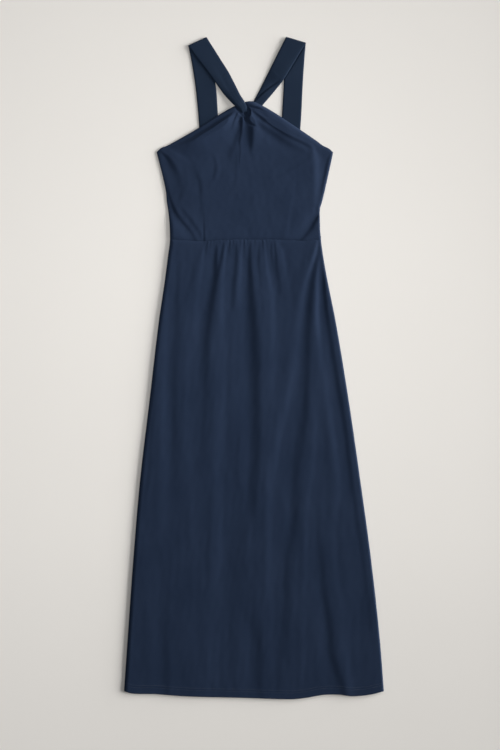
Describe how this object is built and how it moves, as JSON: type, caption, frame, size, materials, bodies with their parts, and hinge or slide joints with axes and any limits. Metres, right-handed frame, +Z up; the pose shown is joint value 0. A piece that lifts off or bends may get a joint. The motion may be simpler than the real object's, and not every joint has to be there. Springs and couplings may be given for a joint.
{
  "type": "halter dress",
  "caption": "Long sleeveless dress with a gathered skirt and crossed straps that twist at the neck, laid flat with its front up.",
  "frame": {"origin": "middle of the laid dress's footprint, on the surface that it lies on", "axes": "+Z up from the surface, +Y towards the neck, +X to the right as the laid front is looked down on"},
  "size_m": [0.549, 1.4, 0.0096],
  "materials": {
    "jersey": "matt navy viscose jersey with a faint sheen"
  },
  "bodies": {
    "root": {"front_bodice": "jersey", "back_bodice": "jersey", "front_skirt": "jersey", "back_skirt": "jersey", "strap_left": "jersey", "strap_right": "jersey"}
  },
  "joints": []
}
